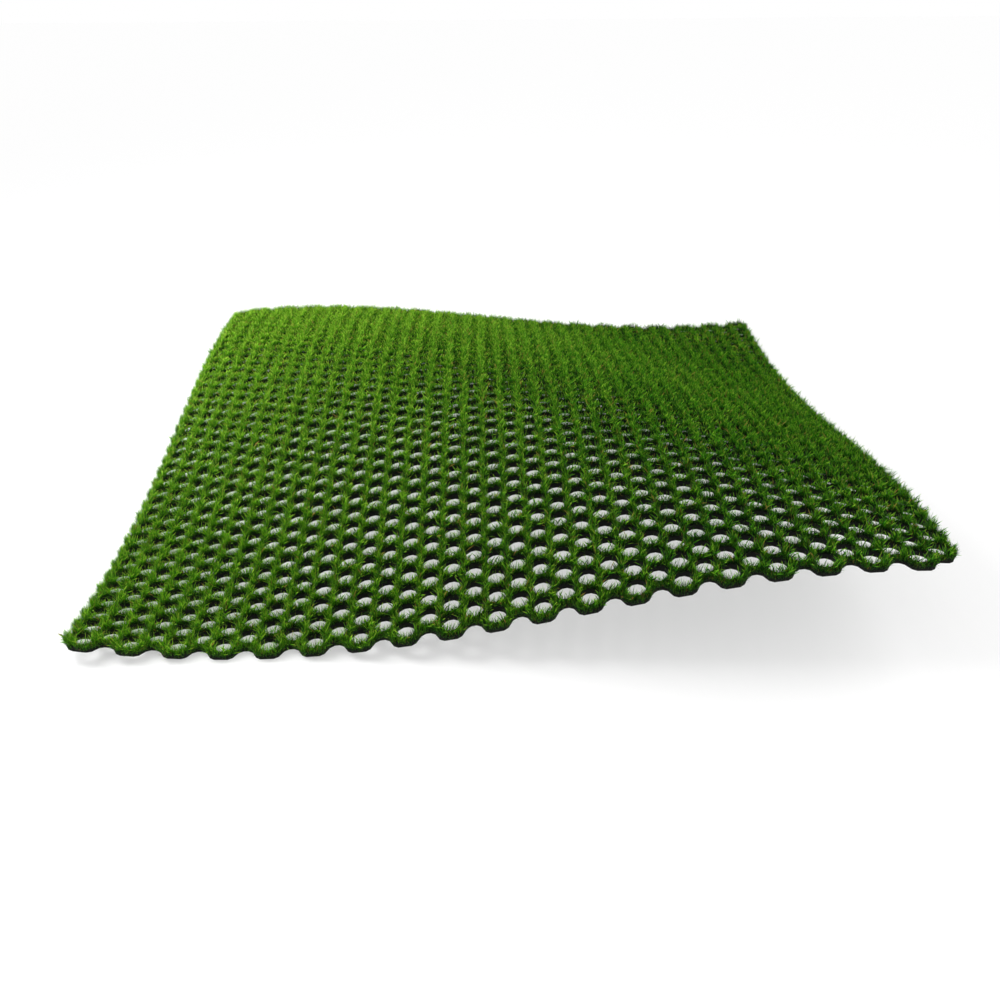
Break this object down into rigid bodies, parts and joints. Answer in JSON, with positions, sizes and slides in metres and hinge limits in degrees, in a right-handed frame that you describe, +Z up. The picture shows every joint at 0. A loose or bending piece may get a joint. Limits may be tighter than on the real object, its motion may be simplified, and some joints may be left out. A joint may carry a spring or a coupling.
{
  "type": "grass paver grid",
  "caption": "Wavy flexible honeycomb mat with short green turf on its webs and open hexagonal cells, for reinforcing grass.",
  "frame": {"origin": "middle of the mat's outline in plan, at the floor that its two troughs touch", "axes": "+Z up, front edge toward -Y, columns of cells run along Y, crest of the wave runs from the front right to the back left"},
  "size_m": [2.0034, 2.146, 0.2568],
  "materials": {
    "grid_rubber": "matt black rubber",
    "grass": "short living grass"
  },
  "bodies": {
    "root": {"grid_panel_a1": "grid_rubber", "grid_panel_a2": "grid_rubber", "grid_panel_a3": "grid_rubber", "grid_panel_a4": "grid_rubber", "grid_panel_a5": "grid_rubber", "grid_panel_b1": "grid_rubber", "grid_panel_b2": "grid_rubber", "grid_panel_b3": "grid_rubber", "grid_panel_b4": "grid_rubber", "grid_panel_b5": "grid_rubber", "grid_panel_c1": "grid_rubber", "grid_panel_c2": "grid_rubber", "grid_panel_c3": "grid_rubber", "grid_panel_c4": "grid_rubber", "grid_panel_c5": "grid_rubber", "grid_panel_d1": "grid_rubber", "grid_panel_d2": "grid_rubber", "grid_panel_d3": "grid_rubber", "grid_panel_d4": "grid_rubber", "grid_panel_d5": "grid_rubber", "grid_panel_e1": "grid_rubber", "grid_panel_e2": "grid_rubber", "grid_panel_e3": "grid_rubber", "grid_panel_e4": "grid_rubber", "grid_panel_e5": "grid_rubber", "turf_panel_a1": "grass", "turf_panel_a2": "grass", "turf_panel_a3": "grass", "turf_panel_a4": "grass", "turf_panel_a5": "grass", "turf_panel_b1": "grass", "turf_panel_b2": "grass", "turf_panel_b3": "grass", "turf_panel_b4": "grass", "turf_panel_b5": "grass", "turf_panel_c1": "grass", "turf_panel_c2": "grass", "turf_panel_c3": "grass", "turf_panel_c4": "grass", "turf_panel_c5": "grass", "turf_panel_d1": "grass", "turf_panel_d2": "grass", "turf_panel_d3": "grass", "turf_panel_d4": "grass", "turf_panel_d5": "grass", "turf_panel_e1": "grass", "turf_panel_e2": "grass", "turf_panel_e3": "grass", "turf_panel_e4": "grass", "turf_panel_e5": "grass"}
  },
  "joints": []
}
